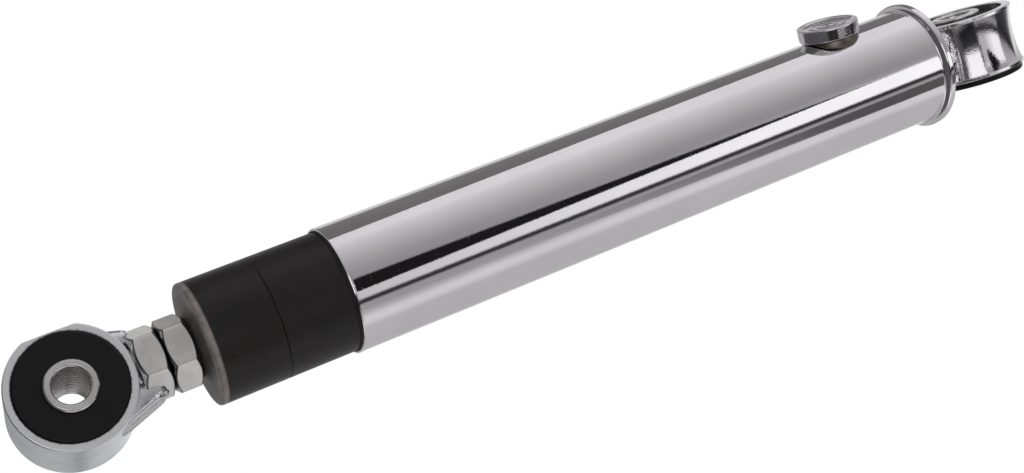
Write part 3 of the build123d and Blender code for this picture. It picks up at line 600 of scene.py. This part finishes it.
def makeNutZinc():
    # The nuts' zinc plate, brighter and yellower, with painted shade and some oily dirt in the gap where
    # the two meet, and painted shade along the chamfers' rounded edges
    tree, shader, place, tint = makeZinc("zinc_plated_nut", **nut["finish"])
    parts = addNode(tree, "SeparateXYZ", [place]).outputs
    # painted shade, with some oily dirt, in the gap where the two nuts meet: darker close to the joint
    away = addNode(tree, "Math", [parts["Z"], nut["joint"] * mm], operation="SUBTRACT")
    away = addNode(tree, "Math", [away], operation="ABSOLUTE")
    wander = patches(tree, place, nut["wanderSize"], span=(0.3, 0.7), values=(0, nut["wander"] * mm))
    away = addNode(tree, "Math", [away, wander], operation="SUBTRACT")
    near, far = (reach * mm for reach in nut["shadeAndDirtReach"])
    darkening = addNode(tree, "MapRange", [away, near, far, nut["darkeningStrength"], 0])
    # painted shade along the chamfers' rounded edges, from the mesh's attribute
    groove = addNode(tree, "Attribute", attribute_name="groove").outputs["Fac"]
    lined = addNode(tree, "Math", [groove, nut["lineStrength"]], operation="MULTIPLY")
    darkening = addNode(tree, "Math", [darkening, lined], operation="MAXIMUM")
    fill(tree, shader, {"Base Color": tinted(tree, darkening, tint, nut["oil"])})


def makeNut(name, bottom, corner, node):
    # Round the axis the radius is the flats' distance over a soft maximum of the six flats' cosines,
    # which rounds the corners. Both ends fall away outside the turned circle at the chamfer's angle, and
    # a rounded edge leads down to the flats.
    side, power, edge = math.radians(60), nut["cornerPower"], nut["edge"]
    t = np.linspace(-1, 1, nut["perSide"], endpoint=False)
    sector = side / 2 * (1.5 * t - 0.5 * t ** 3)  # closer together near the corners
    around = (side * np.arange(6)[:, None] + sector).reshape(-1)
    cosines = np.clip(np.cos(around[:, None] - side * np.arange(6)), 1e-6, 1)
    hexagon = nut["flats"] / 2 / (cosines ** power).sum(axis=1) ** (1 / power)
    start = nut["chamfer"] - nut["faceInside"]
    faceRadius = start + (hexagon[:, None] - edge - start) * np.linspace(0, 1, nut["faceRows"])[None, :]
    faceDrop = np.maximum(faceRadius - nut["chamfer"], 0) * math.tan(math.radians(nut["chamferAngle"]))
    bend = np.linspace(0, math.pi / 2, nut["bendRows"])[None, 1:]
    bendRadius = hexagon[:, None] - edge * (1 - np.sin(bend))
    bendDrop = faceDrop[:, -1:] + edge * (1 - np.cos(bend))
    count = len(around)
    sink = np.tile([nut["bore"], nut["bore"], nut["bore"] + nut["sinkWidth"]], (count, 1))
    sinkDrop = np.tile([nut["height"] / 2, nut["sinkDepth"], nut["sinkEdge"]], (count, 1))
    radius = np.concatenate([sink, faceRadius, bendRadius, hexagon[:, None]], axis=1)
    drop = np.concatenate([sinkDrop, faceDrop, bendDrop, bendDrop[:, -1:] + nut["below"]], axis=1)
    groove = np.zeros(drop.shape)
    # the rounded edge between the chamfer and the flats, marked for a line of painted shade
    groove[:, sink.shape[1] + nut["faceRows"] - 1:-1] = 1  # the rounded edge
    radius, groove = (np.concatenate([half, half[:, :0:-1]], axis=1) for half in (radius, groove))
    height = np.concatenate([nut["height"] - drop, drop[:, :0:-1]], axis=1) + bottom
    turn = around[:, None] + math.radians(corner) + side / 2
    points = np.stack([radius * np.cos(turn), radius * np.sin(turn), height], axis=-1)
    addDarkeningMask(addSurface(name, points, "zinc_nut", "rod", [node]), groove)


makeNutZinc()
makeNut("lock_nut_hexagon", nut["joint"], nut["corners"][0], "lock_nut")
makeNut("weld_nut_hexagon", nut["joint"] - nut["height"], nut["corners"][1], "weld_nut")
print("nuts made")

eye = {"centre": (0, 0, -310.3), "axis": (-0.41945, -0.90778, 0), "radius": 17.7, "bore": 15.4, "flat": 16.1,
       "low": -16.0, "high": 8.0, "edge": 0.6, "boreEdges": (0.3, 0.35), "soften": 0.10, "rippled": 0.05,
       "rippledFrom": 0.8, "seed": 11, "turns": 260,
       "finish": {"colours": ("#E2E9F0", "#F0F4F6", "#AEB4BA"), "roughness": 0.2, "grain": 0.006},
       "cutFrom": (7.3, 7.8), "cutColour": "#EEF0F1", "cutRough": (0.36, 0.40), "darkening": "#3A3836",
       "darkeningRadius": (15.55, 15.90), "wander": 0.22, "wanderSize": 0.9, "darkeningStrength": 0.8}
lowerBush = {"turns": 180, "sleeve": {"low": -17.5, "high": 9.5, "outer": 7.4},
             "rubber": [(7.45, -16.5, 0.3), (15.38, -16.5, 0.8), (15.38, 8.5, 0.8), (7.45, 8.5, 0.3)]}


def makeRingZinc():
    # The ring's zinc plate: its cut front edge is bright and rough, and it is darker along the rubber
    tree, shader, place, tint = makeZinc("cut_zinc_plate", **eye["finish"])
    onCut = onSide(tree, place, eye["centre"], eye["axis"], eye["cutFrom"])
    # a darker band round the bore, along the rubber, from the distance to the eye's axis
    centre = [v * mm for v in eye["centre"]]
    offset = addNode(tree, "VectorMath", [place, centre], operation="SUBTRACT")
    offset = addNode(tree, "VectorMath", [offset, eye["axis"]], operation="CROSS_PRODUCT")
    outward = addNode(tree, "VectorMath", [offset], operation="LENGTH").outputs["Value"]
    wander = patches(tree, place, eye["wanderSize"], span=(0.3, 0.7),
                     values=(-eye["wander"] * mm, eye["wander"] * mm), detail=5, rough=0.75)
    outward = addNode(tree, "Math", [outward, wander], operation="ADD")
    near, far = (radius * mm for radius in eye["darkeningRadius"])
    darkening = addNode(tree, "MapRange", [outward, near, far, eye["darkeningStrength"], 0])
    cut = tinted(tree, darkening, tinted(tree, onCut, tint, eye["cutColour"]), eye["darkening"])
    rough = addNode(tree, "MapRange", [onCut, 0, 1, *eye["cutRough"]])
    fill(tree, shader, {"Base Color": tinted(tree, onCut, tint, cut), "Roughness": rough})


def eyePoint(across, up, along):
    # across and up are measured from the bore's centre, along runs down the bore to the front
    axis, upward, side = directions(eye["axis"], (0, 0, 1))
    across, up, along = across[..., None] * -side, up[..., None] * upward, along[..., None] * axis
    return np.array(eye["centre"]) + across + up + along


def makeRing():
    # On the side with the flat the radius round the bore is the smaller of the ring's and the flat's
    # distance over the sine, with the crease between them rounded as a hyperbola
    turns, bore, high = eye["turns"], eye["bore"], eye["high"]
    angle = angles(turns)[:, None]
    flat = np.where(np.sin(angle) < 0, eye["flat"] / np.maximum(-np.sin(angle), 0.2), 2 * eye["radius"])
    crease = np.sqrt((flat - eye["radius"]) ** 2 + eye["soften"] ** 2)
    outer = (flat + eye["radius"] - crease) / 2
    wall = eye["radius"] - bore
    section = roundedProfile([(0, eye["low"], eye["boreEdges"][0]), (wall, eye["low"], eye["edge"]),
                              (wall, high, eye["edge"]), (0, high, eye["boreEdges"][1])], steps=7)
    radius = bore + (outer - bore) * section[None, :, 0] / wall
    height = np.tile(section[:, 1], (turns, 1))
    rough = eye["rippled"] * ripple(angle * 3, height * 0.4, eye["seed"], 5)
    height = height + np.where(height > high - eye["rippledFrom"], rough, 0)
    addSurface("eye_ring", eyePoint(radius * np.sin(angle), radius * np.cos(angle), height), "zinc_plate",
               "rod", ["lower_eye"], "cut_zinc_plate")


weldForm = {"rounding": 1.6, "hold": 0.8, "rows": 90, "blunt": 5, "tip": 0.015, "rippleLength": 2.4}
welds = {
    "long_weld": {"outline": [(4.0, 14.0), (14.3, 5.6), (15.9, 8.4), (11.3, 21.6), (9.6, 24.0), (5.0, 24.0),
                              (5.0, 17.0)], "low": -5.0, "high": 5.5, "seed": 5, "size": 0.05},
    "short_weld": {"outline": [(-4.0, 13.0), (-13.7, 11.2), (-11.1, 20.2), (-6.5, 20.2)],
                   "low": -8.5, "high": 3.5, "seed": 8, "size": 0.04},
}


def makeWeld(name, outline, low, high, seed, size):
    # A closed section carried along the bore. Towards both ends it shrinks as a blunt curve, the square
    # root of one less a power of the way along, and its sides are rippled.
    section = roundedProfile([(x, y, weldForm["rounding"]) for x, y in outline], 9, weldForm["hold"])
    middle = section.mean(axis=0)
    t = np.linspace(-1, 1, weldForm["rows"])[:, None]
    shrink = np.sqrt(np.clip(1 - np.abs(t) ** weldForm["blunt"], 0, 1))
    shrink = shrink * (1 - weldForm["tip"]) + weldForm["tip"]
    along = (low + high) / 2 + t * (high - low) / 2
    around = angles(len(section))[None, :]
    bump = 1 + size * ripple(around, t * weldForm["rippleLength"], seed, 5)
    across = middle[0] + (section[None, :, 0] - middle[0]) * shrink * bump
    up = middle[1] + (section[None, :, 1] - middle[1]) * shrink * bump
    grid = eyePoint(across, up, np.tile(along, (1, len(section))))
    core = np.broadcast_to(grid.mean(axis=1, keepdims=True)[::-1], grid.shape)
    addSurface(name, np.concatenate([grid, core], axis=0), "zinc_plate", "rod", finish="zinc_plated_weld")


makeRingZinc()
makeRing()
for name, weld in welds.items():
    makeWeld(name, **weld)
rubber = roundedProfile(lowerBush["rubber"], steps=7)
addSurface("lower_rubber", turned(rubber, eye["axis"], (0, 0, 1), eye["centre"], lowerBush["turns"]),
           "bush_rubber", "rod", ["lower_bush_rubber"])
addSleeve("lower_sleeve_tube", **lowerBush["sleeve"], axis=eye["axis"], centre=eye["centre"],
          body="lower_sleeve", node="lower_bush_sleeve")
print("lower eye made")

for part in frame["record"]["subparts"]:  # the CAD's own pieces get their finishes
    slots = frame["nodes"][part["node"]].data.materials
    for index in range(len(slots)):
        slots[index] = finishes[slotFinish[part["material_slot"]]]
print("finishes on the CAD pieces:", len(finishes))


view = {"place": (-0.0813, -0.4574, -0.3563), "right": (0.29996, -0.39867, 0.86665),
        "up": (-0.93848, 0.03964, 0.34305), "ahead": (0.17112, 0.91624, 0.36225),
        "lens": 59.006, "sensor": 36, "nearest": 0.01}
lens = bpy.data.cameras.new("camera")
lens.lens = view["lens"]
lens.sensor_width = view["sensor"]
lens.sensor_fit = "HORIZONTAL"
lens.clip_start = view["nearest"]
camera = bpy.data.objects.new("camera", lens)
turnTo = Matrix([view["right"], view["up"], [-v for v in view["ahead"]]]).transposed().to_4x4()
camera.matrix_world = Matrix.Translation(view["place"]) @ turnTo
bpy.context.scene.collection.objects.link(camera)
bpy.context.scene.camera = camera

# What the chrome mirrors. The wall, table and ceiling have a colour at each bearing round the upright
# axis. byHeight has two heights above the horizon and what each gives, such as a slanting edge's bearing.
# All of these are in degrees.
studio = {
    "wall": [(-180, "#D6D2D7"), (-165, "#C2BEC3"), (-150, "#B3B0B4"), (-135, "#A3A0A2"), (-120, "#939092"),
             (-108, "#8D8A8C"), (-99, "#999699"), (-97.0, "#F7F6F7"), (-72.5, "#F7F6F7"), (-69.5, "#393839"),
             (-64.0, "#302F30"), (-61.3, "#929192"), (-58.8, "#929192"), (-56.8, "#9A999A"), (-46, "#A6A5A6"),
             (-41, "#BAB9BA"), (-35, "#CCCACC"), (-26, "#CBC9CB"), (-16, "#B2B0B2"), (40, "#ADABAD"),
             (55, "#B1AFB1"), (66, "#F6F5F6"), (86, "#D2D1D2"), (104, "#C4C3C4"), (112, "#B9B8B9"),
             (118, "#737071"), (150, "#6B6768"), (180, "#6B6768")],
    "table": [(-180, "#A7A5A7"), (-150, "#999799"), (-124, "#8D8B8D"), (-117, "#B3B1B3"), (-113, "#FAF9FA"),
              (-86, "#FAF9FA"), (-81, "#6A696A"), (-76, "#302F30"), (-60, "#1C1B1C"), (-56, "#5A595A"),
              (-50, "#8A898A"), (-40, "#A7A6A7"), (-33, "#AFAEAF"), (-29, "#E2E1E2"), (-8, "#DEDDDE"),
              (4, "#A8A7A8"), (180, "#A7A5A7")],
    "ceiling": [(-180, "#AAA9AA"), (-104, "#B2B0B2"), (-90, "#A09EA0"), (-77, "#858485"), (-72, "#484748"),
                (-60, "#262526"), (-48, "#343334"), (-10, "#403F40"), (30, "#6A696A"), (52, "#A8A7A8"),
                (66, "#E8E7E8"), (80, "#B4B3B4"), (180, "#AAA9AA")],
    "byHeight": {"panelGlow": (13, 33, 0.48, 1), "bandEnd": (14, 35, -51, -37),
                 "bandShows": (22, 33, 0.15, 1), "paleEdge": (14, 34, 165, 149.5),
                 "flagLeft": (15, 36, -109.5, -98), "flagRight": (15, 36, -84, -96.6),
                 "standIn": (6, 14, 12, 0), "close": (-42, -33, 1, 0), "below": (-3, -1, 1, 0),
                 "above": (49, 54, 0, 1)},
    "panel": {"bearing": -83.5, "half": (12, 14)},
    "band": {"start": -57.3, "soft": (-0.6, 1.6), "colour": "#504E4F"},
    "pale": {"soft": 1.5, "colour": "#D6D2D7"},
    "flag": {"leftSoft": 0.3, "soft": 0.9, "colour": "#1A1819"},
    "edge": {"height": -1.5, "half": (1.2, 2.8), "from": (-102, -97), "strength": 0.85, "colour": "#343234"},
    "closeColour": "#504E50", "mirrored": 1.2, "even": 0.75, "white": 1.0,
}


def makeWorld():
    # Plain studio surroundings as chrome shows them: a wall of long panels and gaps, a table below it and
    # a ceiling above it, and a dark flag that narrows upwards. Only mirrors see them. Other surfaces get
    # an even light, and the camera sees white.
    world = bpy.data.worlds.new("studio")
    bpy.context.scene.world = world
    world.use_nodes = True
    tree = world.node_tree
    tree.nodes.clear()
    toward = addNode(tree, "TexCoord").outputs["Generated"]
    parts = addNode(tree, "SeparateXYZ", [toward]).outputs
    bearing = addNode(tree, "Math", [parts["Y"], parts["X"]], operation="ARCTAN2")
    height = addNode(tree, "Math", [parts["Z"]], operation="ARCSINE")
    bearing, height = (addNode(tree, "Math", [angle], operation="DEGREES")
                       for angle in (bearing, height))
    at = {name: addNode(tree, "MapRange", [height, *ends]) for name, ends in
          studio["byHeight"].items()}
    turn = addNode(tree, "MapRange", [bearing, -180, 180, 0, 1])
    wall, table, ceiling = (
        addNode(tree, "ValToRGB", [turn], [((angle + 180) / 360, linearColour(colour)) for angle, colour in
                                           studio[name]])
        for name in ("wall", "table", "ceiling"))
    # the white panel, dimmer towards its lower end
    panel = studio["panel"]
    fromPanel = addNode(tree, "Math", [bearing, -panel["bearing"]], operation="ADD")
    fromPanel = addNode(tree, "Math", [fromPanel], operation="ABSOLUTE")
    onPanel = addNode(tree, "MapRange", [fromPanel, *panel["half"], 1, 0])
    dimmed = addNode(tree, "Mix", {0: onPanel, 2: 1.0, 3: at["panelGlow"]})
    wall = addNode(tree, "VectorMath", {0: wall, "Scale": dimmed}, operation="SCALE")
    # a dark band that widens upwards
    band = studio["band"]
    beforeEnd = addNode(tree, "Math", [at["bandEnd"], bearing], operation="SUBTRACT")
    afterStart = addNode(tree, "Math", [bearing, -band["start"]], operation="ADD")
    inBand = addNode(tree, "Math", [beforeEnd, afterStart], operation="MINIMUM")
    inBand = addNode(tree, "MapRange", [inBand, *band["soft"], 0, 1])
    inBand = addNode(tree, "Math", [inBand, at["bandShows"]], operation="MULTIPLY")
    wall = tinted(tree, inBand, wall, band["colour"])
    # the pale panel that starts at a slanting edge
    pale = studio["pale"]
    past = addNode(tree, "Math", [bearing, at["paleEdge"]], operation="SUBTRACT")
    past = addNode(tree, "MapRange", [past, 0, pale["soft"], 0, 1])
    wall = tinted(tree, past, wall, pale["colour"])
    # the dark flag, widest at its foot, and a narrower stand under that
    flag = studio["flag"]
    fromLeft = addNode(tree, "Math", [bearing, at["flagLeft"]], operation="SUBTRACT")
    fromLeft = addNode(tree, "Math", [fromLeft, flag["leftSoft"]], operation="MULTIPLY")
    fromRight = addNode(tree, "Math", [at["flagRight"], bearing], operation="SUBTRACT")
    inFlag = addNode(tree, "Math", [fromLeft, fromRight], operation="MINIMUM")
    inFlag = addNode(tree, "Math", [inFlag, at["standIn"]], operation="SUBTRACT")
    inFlag = addNode(tree, "MapRange", [inFlag, 0, flag["soft"], 0, 1])
    wall = tinted(tree, inFlag, wall, flag["colour"])
    # the dark edge of the table, right of the flag, and the table itself, darker close by
    edge = studio["edge"]
    fromEdge = addNode(tree, "Math", [height, -edge["height"]], operation="ADD")
    fromEdge = addNode(tree, "Math", [fromEdge], operation="ABSOLUTE")
    onEdge = addNode(tree, "MapRange", [fromEdge, *edge["half"], edge["strength"], 0])
    rightOf = addNode(tree, "MapRange", [bearing, *edge["from"], 0, 1])
    onEdge = addNode(tree, "Math", [onEdge, rightOf], operation="MULTIPLY")
    table = tinted(tree, at["close"], table, studio["closeColour"])
    room = tinted(tree, at["above"], tinted(tree, at["below"], wall, table), ceiling)
    mirrored = tinted(tree, onEdge, room, edge["colour"])
    path = addNode(tree, "LightPath").outputs
    panelLight = addNode(tree, "Background", {"Color": mirrored, "Strength": studio["mirrored"]})
    even, white = (addNode(tree, "Background", {"Color": (1, 1, 1, 1), "Strength": studio[name]})
                   for name in ("even", "white"))
    lit = addNode(tree, "MixShader", [path["Is Glossy Ray"], even, panelLight])
    seen = addNode(tree, "MixShader", [path["Is Camera Ray"], lit, white])
    addNode(tree, "OutputWorld", {"Surface": seen})


makeWorld()
print("studio made")


lamps = {"soft_key": {"place": (-0.9, -0.9, 0.7), "size": 0.7, "power": 9},
         "soft_fill": {"place": (0.8, -0.7, 0.2), "size": 0.7, "power": 4}}
lampAim = (0, 0, -0.17)


def addLamp(name, place, size, power):
    light = bpy.data.lights.new(name, "AREA")
    light.shape = "DISK"
    light.size = size
    light.energy = power
    lamp = bpy.data.objects.new(name, light)
    lamp.location = place
    lamp.rotation_euler = (Vector(lampAim) - Vector(place)).to_track_quat("-Z", "Y").to_euler()
    lamp.visible_glossy = False
    bpy.context.scene.collection.objects.link(lamp)


for name, lamp in lamps.items():
    addLamp(name, **lamp)


floorDisc = {"radius": 2.5, "height": -0.403, "turns": 96, "colours": ("#DFDFDD", "#E3E3E1"), "cloud": 400,
             "roughness": 0.9}


def makeFloor():
    # a plain disc under the object, in pale matt paint
    turns, radius = floorDisc["turns"], floorDisc["radius"]
    angle = angles(turns)
    height = np.full(turns, floorDisc["height"])
    points = np.stack([radius * np.cos(angle), radius * np.sin(angle), height], axis=1)
    mesh = bpy.data.meshes.new("floor")
    mesh.from_pydata(points.tolist(), [], [list(range(turns))])
    material, tree, shader, place = newFinish("pale_matt_floor", Roughness=floorDisc["roughness"])
    cloud = patches(tree, place, floorDisc["cloud"], span=(0.3, 0.7), detail=2)
    fill(tree, shader, {"Base Color": tinted(tree, cloud, *floorDisc["colours"])})
    mesh.materials.append(material)
    floor = bpy.data.objects.new("floor", mesh)
    bpy.context.scene.collection.objects.link(floor)
    floor.visible_glossy = False


makeFloor()
bpy.context.scene.view_settings.view_transform = "Standard"

print("scene finished")
